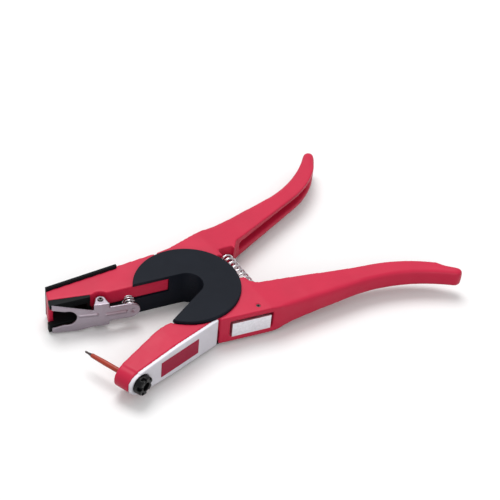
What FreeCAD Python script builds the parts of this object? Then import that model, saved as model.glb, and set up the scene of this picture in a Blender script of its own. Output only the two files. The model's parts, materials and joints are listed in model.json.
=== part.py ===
import FreeCAD, Part
import math
import os
import re
import Sketcher

# Ear tag applicator: crossing-lever pliers that turn round a hollow, C-shaped hub.
#
# The hub's axis is Z. The open side of the hub and the jaws point to -X, the handles to +X, and the
# tool lies on its lower cover at Z = 0. The tag jaw and the lower handle (-Y) are one casting, and
# the pin jaw and the upper handle (+Y) are the other. Sizes are in millimetres and degrees.

V = FreeCAD.Vector
doc = FreeCAD.newDocument("ear_tag_applicator")
sheet = doc.addObject("Spreadsheet::Sheet", "sizes")

SIZES = {
    # hub
    "cover_radius": (32.7, "radius of the two C-shaped covers"),
    "cover_thickness": (2.0, "thickness of a cover's plate"),
    "cover_edge": (0.6, "rounding of a cover's rim"),
    "lever_thickness": (20.0, "thickness of both levers at the hub"),
    "eye_radius": (32.2, "outer radius of each lever's eye"),
    "eye_clearance": (0.6, "gap round an eye"),
    "eye_split": (0.5, "gap between the two eyes"),
    "washer_thickness": (0.4, "wear washer between the eyes"),
    "collar_radius": (14.0, "outer radius of the covers' collars, on which the eyes turn"),
    "collar_fit": (0.05, "running clearance of the eyes on the collars"),
    "throat_radius": (9.8, "radius of the throat's round end"),
    "throat_half": (18.0, "half of the throat's opening angle"),
    "throat_turn": (5.7, "turn of the throat's middle line from -X"),
    "throat_setback": (0.6, "how far the levers stand back from the covers' throat"),
    "throat_wall": (2.4, "thickness of a cover's throat wall"),
    "eye_end": (92.0, "angle at which the tag jaw's eye ends below +X"),
    "eye_far_end": (105.0, "angle at which the pin jaw's eye ends above +X"),
    "screw_circle": (11.9, "radius on which the cover screws stand"),
    "screw_spacing": (62.0, "angle between the cover screws"),
    "screw_radius": (1.0, "radius of a cover screw's shank"),
    "screw_head": (1.7, "radius of a cover screw's head"),
    "screw_length": (14.0, "length of a cover screw"),
    "part_gap": (0.1, "gap between pieces that are fixed together"),
    "stop_gap": (1.2, "gap between the levers' stop faces when the tool is open"),
    # tag jaw
    "tag_jaw_angle": (160.3, "direction of the tag jaw"),
    "tag_jaw_reach": (83.2, "hub axis to the tag jaw's tip"),
    "tag_jaw_face": (4.3, "distance of the tag jaw's inner face from the hub axis"),
    "tag_tip_back": (14.0, "distance of the tag jaw's back from the hub axis at the tip"),
    "jaw_wall": (3.0, "wall of the jaw's channel"),
    "bar_end": (7.7, "start of the tag jaw's bar along the throat, from the hub axis"),
    "tag_back_slope": (15.3, "slope of the tag jaw's back against its face"),
    "backing_thickness": (1.6, "thickness of the strip on the jaw's back"),
    "backing_start": (30.0, "start of the strip on the jaw's back"),
    "backing_rise": (1.8, "how far the strip stands above the jaw"),
    "cup_start": (58.5, "start of the cup for the tag"),
    "cup_height": (11.0, "height of the cup's hollow"),
    "liner_wall": (1.5, "wall of the liner in the jaw's channel"),
    "lip_thickness": (3.1, "thickness of the liner's long lip"),
    "lip_drop": (1.0, "how far the lip reaches below the jaw"),
    "strip_thickness": (3.0, "thickness of the liner's upper strip"),
    # clip
    "hinge_along": (52.7, "clip hinge, along the tag jaw"),
    "hinge_off": (0.6, "clip hinge, distance from the hub axis across the jaw"),
    "hinge_radius": (1.5, "radius of the clip's hinge pin"),
    "hinge_fit": (0.05, "running clearance of the clip on its pin"),
    "knuckle_radius": (3.1, "radius of the hinge knuckle"),
    "notch_radius": (5.5, "radius of the notch above the hinge"),
    "clip_thickness": (1.2, "sheet thickness of the clip"),
    "clip_standoff": (4.9, "distance of the clip's outer face from its hinge"),
    "clip_front": (29.3, "hinge to the clip's fork end"),
    "clip_rear": (18.0, "hinge to the middle of the clip's thumb lobe"),
    "fork_height": (21.7, "height of the fork"),
    "fork_inset": (2.0, "how far the fork's end is bent towards the jaw"),
    "lobe_inset": (0.9, "how far the thumb lobe is bent towards the jaw"),
    "slot_radius": (5.35, "half width of the fork's slot"),
    "lobe_radius": (5.4, "radius of the thumb lobe"),
    "ear_height": (8.0, "height of the clip's ears above and below the middle"),
    "clip_wire": (0.9, "wire of the clip spring"),
    "clip_coil": (3.4, "mean radius of the clip spring"),
    "clip_turns": (3.25, "turns of the clip spring"),
    # pin jaw
    "pin_jaw_angle": (199.5, "direction of the pin jaw"),
    "pin_jaw_reach": (80.5, "hub axis to the pin jaw's tip"),
    "pin_jaw_face": (8.5, "distance of the pin jaw's inner face from the hub axis"),
    "pin_tip_back": (20.9, "distance of the pin jaw's back from the hub axis at the tip"),
    "pin_back_slope": (9.25, "slope of the pin jaw's back against its face"),
    "pin_tip_height": (14.5, "height of the pin jaw at its tip"),
    "pin_tip_round": (4.5, "rounding of the pin jaw's tip"),
    "pin_reach": (72.7, "hub axis to the applicator pin"),
    "pin_length": (26.9, "free length of the applicator pin"),
    "pin_radius": (1.6, "radius of the pin's sleeve"),
    "sleeve_shoulder": (0.3, "distance of the sleeve's shoulder from the jaw's inner face"),
    "sleeve_neck": (1.25, "radius of the sleeve's neck in the jaw's hole"),
    "pin_tip_radius": (0.65, "radius of the pin's bare tip"),
    "pin_tip_length": (2.4, "length of the bare tip"),
    "pin_flange_radius": (4.2, "radius of the pin's flange"),
    "pin_flange": (2.5, "thickness of the pin's flange"),
    "pin_wall": (2.6, "wall of the jaw in front of the pin's flange"),
    "nut_radius": (6.0, "radius of the retaining nut"),
    "nut_shank": (4.8, "radius of the nut's threaded shank"),
    "nut_key": (2.8, "radius of the hollow in the nut's end"),
    "nut_key_depth": (2.5, "depth of the hollow in the nut's end"),
    "nut_rise": (3.8, "how far the nut stands out of the jaw's back"),
    "nut_slots": (6, "number of slots in the nut's rim"),
    "nut_slot_width": (2.2, "width of a slot in the nut's rim"),
    "insert_plate": (2.2, "thickness of the insert's outer plate"),
    "insert_depth": (6.0, "depth of the insert's block in the jaw's channel"),
    "insert_height": (8.0, "height of the insert's block"),
    "insert_start": (26.0, "start of the insert's block along the jaw's back"),
    "insert_end": (58.0, "end of the insert's block along the jaw's back"),
    "label_length": (29.5, "length of the blank label plate"),
    "label_height": (11.0, "height of the blank label plate"),
    "label_thickness": (0.4, "thickness of the blank label plate"),
    "label_start": (23.0, "start of the blank label plate along the jaw's back"),
    # handles
    "handle_slope": (17.0, "slope of a handle's inner edge"),
    "handle_start": (52.0, "start of a handle's straight inner edge"),
    "handle_offset": (21.3, "height of the inner edge at its start"),
    "bend_inner": (113.0, "start of the bend on the inner edge"),
    "bend_outer": (94.0, "start of the bend on the outer edge"),
    "back_upper": (48.3, "distance of the upper handle's outer edge at the bend"),
    "back_lower": (49.2, "distance of the lower handle's outer edge at the bend"),
    "root_upper": (35.6, "distance of the upper handle's outer edge at the hub"),
    "root_lower": (34.4, "distance of the lower handle's outer edge at the hub"),
    "shoulder_upper": (11.0, "place of the upper handle's shoulder"),
    "shoulder_lower": (38.0, "place of the lower handle's shoulder"),
    "shoulder_width": (43.4, "distance of the lower handle's outer edge at its shoulder"),
    "upper_reach": (154.5, "end of the upper handle"),
    "lower_reach": (160.5, "end of the lower handle"),
    "handle_spread": (71.5, "distance of the inner edge at the handle's end"),
    "end_along": (6.0, "handle's end face, along X"),
    "end_across": (4.4, "handle's end face, along Y"),
    "end_round": (4.2, "rounding of the handle's end"),
    "toe_x": (40.0, "corner of the upper handle beside the return spring"),
    "toe_y": (8.6, "corner of the upper handle beside the return spring"),
    "heel_x": (33.0, "place where the upper handle leaves the covers"),
    "heel_y": (14.0, "place where the upper handle leaves the covers"),
    "web_x": (35.7, "edge of the lower handle's web beside the covers"),
    "web_top": (10.5, "upper end of the lower handle's web"),
    "web_low": (14.3, "lower end of the lower handle's web"),
    "grip_thickness": (12.5, "thickness of a handle at its bend"),
    "neck_thickness": (15.5, "thickness of a handle at its neck"),
    "neck_start": (60.0, "place of the neck"),
    "handle_wall": (3.0, "wall behind a handle's groove"),
    "groove_height": (6.5, "height of the groove in a handle"),
    "groove_start": (56.0, "start of the groove in a handle"),
    "groove_end": (141.0, "end of the groove in a handle"),
    "handle_round": (3.0, "rounding of a handle's outer edges"),
    # return spring
    "seat_upper_x": (41.0, "upper end of the return spring"),
    "seat_upper_y": (18.0, "upper end of the return spring"),
    "seat_lower_x": (37.5, "lower end of the return spring"),
    "seat_lower_y": (-25.5, "lower end of the return spring"),
    "spring_wire": (1.3, "wire of the return spring"),
    "spring_coil": (3.9, "mean radius of the return spring"),
    "spring_turns": (12.0, "turns of the return spring"),
    "spring_room": (5.6, "radius of the pockets that hold the return spring"),
    "peg_radius": (2.6, "radius of the pegs inside the return spring"),
    "peg_length": (4.5, "length of the pegs inside the return spring"),
    "hook_hole": (1.7, "radius of the hole for the return spring's end"),
    "hook_x": (37.6, "hole for the return spring's end"),
    "hook_y": (15.9, "hole for the return spring's end"),
    "seat_wall": (0.3, "gap between the return spring and the floor of its pocket"),
    # latch
    "latch_x": (27.2, "latch pivot"),
    "latch_y": (-35.6, "latch pivot"),
    "latch_pin_radius": (1.4, "radius of the latch's pivot pin"),
    "latch_fit": (0.05, "running clearance of the latch on its pin"),
    "latch_nose": (18.5, "pivot to the end of the latch's nose"),
    "latch_tail": (6.5, "pivot to the latch's tail"),
    "latch_height": (10.4, "height of the latch lever"),
    "latch_wall": (1.4, "wall of the latch lever"),
    "latch_turn": (13.1, "slope of the latch against X"),
    "latch_out": (5.9, "pivot to the latch's outer face"),
    "latch_in": (2.0, "pivot to the latch's inner edge"),
    "nose_in": (2.2, "pivot line to the inner edge of the latch's nose"),
    "nose_root": (8.0, "pivot to the root of the latch's nose"),
    "window_gap": (0.9, "gap round the latch in its window"),
    "window_swing": (2.6, "room behind the latch for its swing"),
    "tail_room": (1.9, "room past the latch's tail for its swing"),
}

# Places that several pieces share, as expressions of the sizes.
MID = "(cover_thickness + lever_thickness / 2)"
HALF = "(lever_thickness / 2)"
EYE_GAP = "(eye_split / 2)"
BORE = "(collar_radius + collar_fit)"
RELIEF = "(eye_radius + eye_clearance)"
SETBACK = "(throat_radius + throat_setback)"
STOP = "(stop_gap / 2)"
THROAT_LINE = "(180 + throat_turn - throat_half)"
JAW_TO_THROAT = f"({THROAT_LINE} - tag_jaw_angle)"
TAG_BACK = "(tag_tip_back * cos(tag_back_slope) + tag_jaw_reach * sin(tag_back_slope))"
TAG_BACK_TIP = "(tag_jaw_reach * cos(tag_back_slope) - tag_tip_back * sin(tag_back_slope))"
TAG_BACK_LINE = "(tag_jaw_angle + tag_back_slope)"
PIN_BACK = "(pin_tip_back * cos(pin_back_slope) + pin_jaw_reach * sin(pin_back_slope))"
PIN_BACK_TIP = "(pin_jaw_reach * cos(pin_back_slope) - pin_tip_back * sin(pin_back_slope))"
PIN_BACK_LINE = "(pin_jaw_angle - pin_back_slope)"
FAR = "(2 * lower_reach)"

for row, (alias, (number, note)) in enumerate(SIZES.items(), start=1):
    sheet.set(f"A{row}", alias)
    sheet.set(f"B{row}", str(number))
    sheet.setAlias(f"B{row}", alias)
    sheet.set(f"C{row}", note)
doc.recompute()

ALIAS = re.compile(r"\b(" + "|".join(SIZES) + r")\b")


def bound(expression):
    """The expression with each size pointing at its cell."""
    return ALIAS.sub(r"sizes.\1", str(expression))


def value(expression):
    """The expression's number."""
    return float(sheet.evalExpression(str(expression)))


# ---------------------------------------------------------------- sketches


def set_place(target, prop, x, y, z, turn):
    """Bind a placement: a point, and a turn about Z."""
    target.setExpression(prop + ".Base.x", bound(f"({x}) * 1 mm"))
    target.setExpression(prop + ".Base.y", bound(f"({y}) * 1 mm"))
    target.setExpression(prop + ".Base.z", bound(f"({z}) * 1 mm"))
    target.setExpression(prop + ".Rotation.Angle", bound(f"({turn}) * 1 deg"))


def new_body(name, x="0", y="0", z=MID, turn="0"):
    """An empty body whose own XY plane is the tool's middle plane."""
    body = doc.addObject("PartDesign::Body", name)
    body.Label = name
    set_place(body, "Placement", x, y, z, turn)
    return body


def new_sketch(body, name, lift="0", turn="0", x="0", y="0", plane="XY_Plane"):
    """An empty sketch on one of the body's planes, lifted, shifted and turned in it."""
    planes = {feature.Role: feature for feature in body.Origin.OriginFeatures}
    sketch = body.newObject("Sketcher::SketchObject", f"{body.Name}_{name}")
    sketch.AttachmentSupport = [(planes[plane], "")]
    sketch.MapMode = "FlatFace"
    set_place(sketch, "AttachmentOffset", x, y, lift, turn)
    return sketch


def pin_down(sketch, geometry, end, x, y):
    """Bind one end of a line or arc to a place."""
    across = sketch.addConstraint(
        Sketcher.Constraint("DistanceX", -1, 1, geometry, end, value(x))
    )
    sketch.setExpression(f"Constraints[{across}]", bound(x))
    up = sketch.addConstraint(Sketcher.Constraint("DistanceY", -1, 1, geometry, end, value(y)))
    sketch.setExpression(f"Constraints[{up}]", bound(y))


def arc_between(start, end, radius):
    """An arc from start to end, turning left for a positive radius and right for a negative one.
    Sketch arcs run anticlockwise, so the second value says which end comes first."""
    middle = (start + end) / 2
    chord = end - start
    left = V(-chord.y, chord.x, 0) / chord.Length
    rise = math.sqrt(max(radius**2 - (chord.Length / 2) ** 2, 0.0))
    centre = middle + left * math.copysign(rise, radius)
    first, last = (start, end) if radius > 0 else (end, start)
    angles = [math.atan2(p.y - centre.y, p.x - centre.x) for p in (first, last)]
    circle = Part.Circle(centre, V(0, 0, 1), abs(radius))
    return Part.ArcOfCircle(circle, angles[0], angles[1]), (1, 2) if radius > 0 else (2, 1)


def tangent_radius(start, end, heading):
    """Signed radius of the arc that leaves start along heading and reaches end."""
    chord = end - start
    return chord.Length**2 / (2 * (heading.x * chord.y - heading.y * chord.x))


def draw(sketch, path):
    """Draw a closed outline. Each entry (kind, x, y, ...) is the step that arrives at that corner:
    a "line", an "arc" of a signed radius, a "bend" that leaves the last line without a corner, or an
    "ease" that joins the next line without a corner."""
    corners = [V(value(step[1]), value(step[2]), 0) for step in path]
    count = len(path)
    base = sketch.GeometryCount
    ends = []
    for index, step in enumerate(path):
        start, end = corners[index - 1], corners[index]
        if step[0] == "line":
            shape, order = Part.LineSegment(start, end), (1, 2)
        elif step[0] == "arc":
            shape, order = arc_between(start, end, value(step[3]))
        elif step[0] == "bend":
            heading = (start - corners[index - 2]).normalize()
            shape, order = arc_between(start, end, tangent_radius(start, end, heading))
        else:
            heading = (end - corners[(index + 1) % count]).normalize()
            shape, order = arc_between(start, end, -tangent_radius(end, start, heading))
        sketch.addGeometry(shape, False)
        ends.append(order)
    for index, step in enumerate(path):
        after = (index + 1) % count
        smooth = path[after][0] == "bend" or step[0] == "ease"
        sketch.addConstraint(
            Sketcher.Constraint(
                "Tangent" if smooth else "Coincident",
                base + index,
                ends[index][1],
                base + after,
                ends[after][0],
            )
        )
        pin_down(sketch, base + index, ends[index][1], step[1], step[2])
        if step[0] == "arc":
            curve = sketch.addConstraint(
                Sketcher.Constraint("Radius", base + index, abs(value(step[3])))
            )
            sketch.setExpression(f"Constraints[{curve}]", bound(f"abs({step[3]})"))
    return sketch


def draw_lines(sketch, *corners):
    """Draw a closed outline of straight lines."""
    return draw(sketch, [("line", x, y) for x, y in corners])


def draw_box(sketch, x_low, y_low, x_high, y_high):
    """Draw a rectangle."""
    return draw_lines(sketch, (x_low, y_low), (x_high, y_low), (x_high, y_high), (x_low, y_high))


def draw_circle(sketch, radius, x="0", y="0"):
    """Draw a circle."""
    index = sketch.addGeometry(
        Part.Circle(V(value(x), value(y), 0), V(0, 0, 1), value(radius)), False
    )
    pin_down(sketch, index, 3, x, y)
    size = sketch.addConstraint(Sketcher.Constraint("Radius", index, value(radius)))
    sketch.setExpression(f"Constraints[{size}]", bound(radius))
    return sketch


# ---------------------------------------------------------------- features


def add_feature(kind, sketch, length, symmetric):
    """A pad or pocket of a sketch, to a length or, with none, through everything."""
    body = sketch.getParentGeoFeatureGroup()
    feature = body.newObject(f"PartDesign::{kind}", f"{sketch.Name}_{kind.lower()}")
    feature.Profile = sketch
    feature.SideType = "Symmetric" if symmetric else "One side"
    if length is None:
        feature.Type = "ThroughAll"
    else:
        feature.setExpression("Length", bound(length))
    return feature


def pad(sketch, length, symmetric=False):
    """Add the sketch's outline, upwards from the sketch."""
    return add_feature("Pad", sketch, length, symmetric)


def pocket(sketch, length=None, symmetric=False):
    """Cut the sketch's outline away, downwards from the sketch, and check that it cut."""
    body = sketch.getParentGeoFeatureGroup()
    doc.recompute()
    before = body.Shape.Volume
    feature = add_feature("Pocket", sketch, length, symmetric or length is None)
    doc.recompute()
    if not body.Shape.Volume < before - 1e-6:
        raise RuntimeError(f"{feature.Name} cuts nothing")
    return feature


def turned(kind, sketch):
    """Revolve the sketch's outline about its own vertical axis, as a Revolution or a Groove."""
    body = sketch.getParentGeoFeatureGroup()
    feature = body.newObject(f"PartDesign::{kind}", f"{sketch.Name}_{kind.lower()}")
    feature.Profile = sketch
    feature.ReferenceAxis = (sketch, ["V_Axis"])
    feature.Angle = 360
    return feature


def is_arc(edge, radius, height):
    """Whether an edge is a level arc of this radius at this height."""
    level = abs(edge.BoundBox.ZMin - height) < 0.01 and abs(edge.BoundBox.ZMax - height) < 0.01
    return level and hasattr(edge.Curve, "Radius") and abs(edge.Curve.Radius - radius) < 0.01


def round_edges(body, name, radius, choose):
    """Fillet those of the body's edges that choose picks, in the body's own frame."""
    doc.recompute()
    base = body.Tip
    picked = [f"Edge{i}" for i, edge in enumerate(base.Shape.Edges, start=1) if choose(edge)]
    if not picked:
        raise RuntimeError(f"{name}: no edge to round")
    feature = body.newObject("PartDesign::Fillet", f"{body.Name}_{name}")
    feature.Base = (base, picked)
    feature.setExpression("Radius", bound(radius))
    body.Tip = feature
    return feature


# ---------------------------------------------------------------- levers


def cut_eye(body, name, above):
    """Clear the half of the lever that the other lever's eye turns in."""
    lift = EYE_GAP if above else HALF
    seat = new_sketch(body, name, lift)
    pocket(draw_circle(seat, RELIEF), f"{HALF} + {EYE_GAP}")


def handle_path(side, back, root, shoulder, shoulder_back, reach, inner):
    """A handle's outline from the stop face, along its outer edge, round its end and back.
    side is 1 for the upper handle and -1 for the lower one."""
    return [
        ("line", STOP, f"{side} * eye_radius * 0.8"),
        ("line", STOP, f"{side} * {root}"),
        ("line", shoulder, f"{side} * {shoulder_back}"),
        ("line", "bend_outer", f"{side} * {back}"),
        ("bend", f"{reach} - end_along", f"{side} * (handle_spread + end_across)"),
        ("arc", reach, f"{side} * handle_spread", f"{-side} * end_round"),
        (
            "ease",
            "bend_inner",
            f"{side} * (handle_offset + (bend_inner - handle_start) * tan(handle_slope))",
        ),
        ("line", "handle_start", f"{side} * handle_offset"),
    ] + [("line", x, y) for x, y in inner]


def thin_handle(body):
    """Taper the handle's thickness from the covers to the grip, above and below."""
    start = "cover_radius + eye_clearance"
    for side, name in ((1, "thin_top"), (-1, "thin_bottom")):
        sketch = new_sketch(body, name, plane="XZ_Plane")
        draw_lines(
            sketch,
            (start, f"{side} * {HALF}"),
            ("neck_start", f"{side} * neck_thickness / 2"),
            ("bend_inner", f"{side} * grip_thickness / 2"),
            (FAR, f"{side} * grip_thickness / 2"),
            (FAR, f"{side} * {HALF} * 1.5"),
            (start, f"{side} * {HALF} * 1.5"),
        )
        pocket(sketch)


def cut_groove(body, side, back):
    """Cut the groove that opens along the handle's inner edge."""
    sketch = new_sketch(body, "groove")
    inner_end = "handle_offset + (groove_end - handle_start) * tan(handle_slope)"
    wall = "handle_wall / cos(handle_slope)"
    start_back = f"{back} - (bend_outer - groove_start) * tan(handle_slope / 2) - {wall}"
    draw(
        sketch,
        [
            ("line", "groove_start", f"{side} * (handle_offset - handle_wall)"),
            ("line", "groove_start", f"{side} * ({start_back})"),
            ("line", "bend_outer", f"{side} * ({back} - {wall})"),
            ("bend", "groove_end", f"{side} * ({inner_end} + 2.4 * handle_wall)"),
            ("line", "groove_end", f"{side} * {inner_end}"),
        ],
    )
    pocket(sketch, "groove_height", symmetric=True)


def spring_pocket(body, seat_x, seat_y, turn, depth):
    """Bore a pocket for the return spring, with a cast peg on its floor."""
    hole = new_sketch(body, "spring_pocket", turn=turn, x=seat_x, y=seat_y)
    draw_box(hole, "0", "-seat_wall", "spring_room", depth)
    turned("Groove", hole)
    peg = new_sketch(body, "spring_peg", turn=turn, x=seat_x, y=seat_y)
    draw_box(peg, "0", "-seat_wall - handle_wall / 2", "peg_radius", "peg_length")
    turned("Revolution", peg)


SPRING_TURN = (
    "(atan((seat_upper_y - seat_lower_y) / (seat_upper_x - seat_lower_x)) / 1 deg - 90)"
)


def make_tag_jaw_lever():
    """The casting with the tag jaw and the lower handle; its eye is the upper one."""
    body = new_body("tag_jaw_lever")
    eye = new_sketch(body, "eye", EYE_GAP)
    pad(draw_circle(eye, "eye_radius"), f"{HALF} - {EYE_GAP}")
    bore = new_sketch(body, "bore", HALF)
    pocket(draw_circle(bore, BORE))
    mouth = new_sketch(body, "mouth", HALF)
    draw_lines(
        mouth,
        ("0", "0"),
        (f"-{SETBACK}", f"{SETBACK}"),
        ("-2 * eye_radius", "2 * eye_radius"),
        ("-3 * eye_radius", "0"),
        ("-2 * eye_radius", "-2 * eye_radius"),
        ("2 * eye_radius * cos(eye_end)", "-2 * eye_radius * sin(eye_end)"),
    )
    pocket(mouth)

    jaw = new_sketch(body, "jaw", turn="tag_jaw_angle")
    back_zero = f"({TAG_BACK} / cos(tag_back_slope))"
    slope = "tan(tag_back_slope)"
    root = (
        f"((sin(tag_jaw_angle) * {back_zero} + {STOP})"
        f" / (sin(tag_jaw_angle) * {slope} - cos(tag_jaw_angle)))"
    )
    cross = f"(({SETBACK} - tag_jaw_face * cos({JAW_TO_THROAT})) / sin({JAW_TO_THROAT}))"
    bar_x = f"bar_end * cos({JAW_TO_THROAT}) + {SETBACK} * sin({JAW_TO_THROAT})"
    bar_y = f"bar_end * sin({JAW_TO_THROAT}) - {SETBACK} * cos({JAW_TO_THROAT})"
    draw_lines(
        jaw,
        ("tag_jaw_reach", "-tag_jaw_face"),
        (cross, "-tag_jaw_face"),
        (bar_x, bar_y),
        (root, f"-({back_zero} - {root} * {slope})"),
        ("tag_jaw_reach", "-tag_tip_back"),
    )
    pad(jaw, "lever_thickness", symmetric=True)

    handle = new_sketch(body, "handle")
    draw(
        handle,
        handle_path(
            -1,
            "back_lower",
            "root_lower",
            "shoulder_lower",
            "shoulder_width",
            "lower_reach",
            [
                ("web_x + handle_wall + part_gap", "-(web_low + handle_wall + eye_clearance)"),
                ("web_x", "-web_low"),
                ("web_x", "-web_top"),
                ("eye_radius * 0.8", "-web_top * 0.8"),
            ],
        ),
    )
    pad(handle, "lever_thickness", symmetric=True)
    cut_eye(body, "eye_seat", above=True)
    thin_handle(body)
    cut_groove(body, -1, "back_lower")

    backing = new_sketch(body, "backing_seat", turn=TAG_BACK_LINE)
    draw_box(
        backing,
        "backing_start - part_gap",
        f"-{TAG_BACK} - 1",
        f"{TAG_BACK_TIP} + 2 * jaw_wall",
        f"-{TAG_BACK} + backing_thickness + part_gap",
    )
    pocket(backing)

    ledge = new_sketch(body, "lip_ledge", "0", turn=THROAT_LINE)
    draw_box(
        ledge,
        "cover_radius * 0.8",
        "-throat_radius - lip_thickness - part_gap",
        "tag_jaw_reach + jaw_wall",
        "0",
    )
    pocket(ledge, HALF)

    cup = new_sketch(body, "cup", turn="tag_jaw_angle")
    tip_wall = "tag_jaw_reach - jaw_wall"
    cup_back = f"{back_zero} - ({{}}) * {slope} - backing_thickness - jaw_wall"
    draw_lines(
        cup,
        ("cup_start", "0"),
        (tip_wall, "0"),
        (tip_wall, f"-({cup_back.format(tip_wall)})"),
        ("cup_start", f"-({cup_back.format('cup_start')})"),
    )
    pocket(cup, "lever_thickness - 2 * jaw_wall", symmetric=True)

    notch = new_sketch(body, "notch", HALF, turn="tag_jaw_angle")
    pocket(draw_circle(notch, "notch_radius", "hinge_along", "-hinge_off"), HALF)
    foot = new_sketch(body, "knuckle_foot", "-ear_height + 2 * clip_thickness", "tag_jaw_angle")
    draw_box(
        foot,
        "hinge_along - knuckle_radius",
        "-hinge_off - notch_radius - jaw_wall",
        "hinge_along + knuckle_radius",
        "-hinge_off",
    )
    pad(foot, "ear_height - 2 * clip_thickness")
    knuckle = new_sketch(body, "knuckle", "-ear_height + 2 * clip_thickness", "tag_jaw_angle")
    draw_circle(knuckle, "knuckle_radius", "hinge_along", "-hinge_off")
    pad(knuckle, "2 * ear_height - 3 * clip_thickness")
    pin_hole = new_sketch(body, "hinge_hole", HALF, turn="tag_jaw_angle")
    pocket(draw_circle(pin_hole, "hinge_radius", "hinge_along", "-hinge_off"))

    window = new_sketch(body, "latch_window", turn="-latch_turn", x="latch_x", y="latch_y")
    draw_lines(
        window,
        ("-latch_nose - window_gap", "-2 * latch_out"),
        ("latch_tail + tail_room", "-2 * latch_out"),
        ("latch_tail + tail_room", "latch_in + window_swing"),
        ("-nose_root / 2", "latch_in + window_swing"),
        ("-nose_root - window_gap", "-nose_in + window_gap"),
        ("-latch_nose - window_gap", "-nose_in + window_gap"),
    )
    pocket(window, "latch_height + 2 * window_gap", symmetric=True)
    pivot = new_sketch(body, "latch_hole", HALF, x="latch_x", y="latch_y")
    pocket(draw_circle(pivot, "latch_pin_radius"))
    spring_pocket(body, "seat_lower_x", "seat_lower_y", SPRING_TURN, "4 * peg_length")
    return body


def make_pin_jaw_lever():
    """The casting with the pin jaw and the upper handle; its eye is the lower one."""
    body = new_body("pin_jaw_lever")
    eye = new_sketch(body, "eye", f"-{HALF}")
    pad(draw_circle(eye, "eye_radius"), f"{HALF} - {EYE_GAP}")
    bore = new_sketch(body, "bore", "0")
    pocket(draw_circle(bore, BORE))
    mouth = new_sketch(body, "mouth", "0", turn="throat_turn")
    far_end = "(eye_far_end - throat_turn)"
    draw_lines(
        mouth,
        ("0", "0"),
        (f"{SETBACK} * sin(throat_half)", f"-{SETBACK} * cos(throat_half)"),
        (
            f"{SETBACK} * sin(throat_half) - 2 * eye_radius * cos(throat_half)",
            f"-{SETBACK} * cos(throat_half) - 2 * eye_radius * sin(throat_half)",
        ),
        ("-3 * eye_radius", "0"),
        (f"2 * eye_radius * cos{far_end}", f"2 * eye_radius * sin{far_end}"),
    )
    pocket(mouth)

    jaw = new_sketch(body, "jaw", turn="pin_jaw_angle")
    back_zero = f"({PIN_BACK} / cos(pin_back_slope))"
    slope = "tan(pin_back_slope)"
    root = (
        f"(({STOP} - sin(pin_jaw_angle) * {back_zero})"
        f" / (-sin(pin_jaw_angle) * {slope} - cos(pin_jaw_angle)))"
    )
    draw_lines(
        jaw,
        ("pin_jaw_reach", "pin_jaw_face"),
        ("cover_radius - stop_gap", "pin_jaw_face"),
        ("eye_radius * 0.75", "eye_radius * 0.5"),
        ("eye_radius * 0.45", "eye_radius * 0.7"),
        (root, f"{back_zero} - {root} * {slope}"),
        ("pin_jaw_reach", "pin_tip_back"),
    )
    pad(jaw, "lever_thickness", symmetric=True)

    handle = new_sketch(body, "handle")
    draw(
        handle,
        handle_path(
            1,
            "back_upper",
            "root_upper",
            "shoulder_upper",
            "root_upper",
            "upper_reach",
            [
                ("toe_x", "toe_y"),
                ("heel_x", "heel_y"),
                ("heel_x * 0.7", "heel_y * 0.7"),
            ],
        ),
    )
    pad(handle, "lever_thickness", symmetric=True)
    cut_eye(body, "eye_seat", above=False)
    thin_handle(body)
    thin_pin_jaw(body)
    cut_groove(body, 1, "back_upper")
    plate = new_sketch(body, "insert_seat", turn=PIN_BACK_LINE)
    draw_box(
        plate,
        "0",
        f"{PIN_BACK} - insert_plate - part_gap",
        f"{PIN_BACK_TIP} + pin_tip_round",
        f"{PIN_BACK} + 1",
    )
    pocket(plate)
    block = new_sketch(body, "insert_channel", turn=PIN_BACK_LINE)
    draw_box(
        block,
        "insert_start - part_gap",
        f"{PIN_BACK} - insert_plate - insert_depth - part_gap",
        "insert_end + part_gap",
        f"{PIN_BACK}",
    )
    pocket(block, "insert_height + 2 * part_gap", symmetric=True)
    seat = pin_sketch(body, "pin_seat")
    flange = "pin_flange_radius + part_gap"
    shank = "nut_shank + part_gap"
    end = "pin_wall + pin_flange + part_gap"
    draw_lines(
        seat,
        ("0", "-1"),
        ("sleeve_neck + part_gap", "-1"),
        ("sleeve_neck + part_gap", "pin_wall"),
        (flange, "pin_wall"),
        (flange, end),
        (shank, end),
        (shank, PIN_BACK),
        ("0", PIN_BACK),
    )
    turned("Groove", seat)
    spring_pocket(body, "seat_upper_x", "seat_upper_y", f"{SPRING_TURN} + 180", "4 * peg_length")
    hook = new_sketch(body, "hook_hole", HALF, x="hook_x", y="hook_y")
    pocket(draw_circle(hook, "hook_hole"), HALF)
    return body


def thin_pin_jaw(body):
    """Taper the pin jaw's thickness from the covers to its tip, above and below."""
    start = "-(cover_radius + eye_clearance)"
    tip = "pin_jaw_reach * cos(pin_jaw_angle)"
    for side, name in ((1, "jaw_thin_top"), (-1, "jaw_thin_bottom")):
        sketch = new_sketch(body, name, plane="XZ_Plane")
        draw_lines(
            sketch,
            (start, f"{side} * {HALF}"),
            (start, f"{side} * {HALF} * 1.5"),
            (f"2 * {tip}", f"{side} * {HALF} * 1.5"),
            (f"2 * {tip}", f"{side} * pin_tip_height / 2"),
            (tip, f"{side} * pin_tip_height / 2"),
        )
        pocket(sketch)


def pin_sketch(body, name):
    """A sketch whose upright axis is the applicator pin's, from the jaw's inner face outwards."""
    return new_sketch(
        body,
        name,
        turn="pin_jaw_angle",
        x="pin_reach * cos(pin_jaw_angle) - pin_jaw_face * sin(pin_jaw_angle)",
        y="pin_reach * sin(pin_jaw_angle) + pin_jaw_face * cos(pin_jaw_angle)",
    )


# ---------------------------------------------------------------- hub


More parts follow.
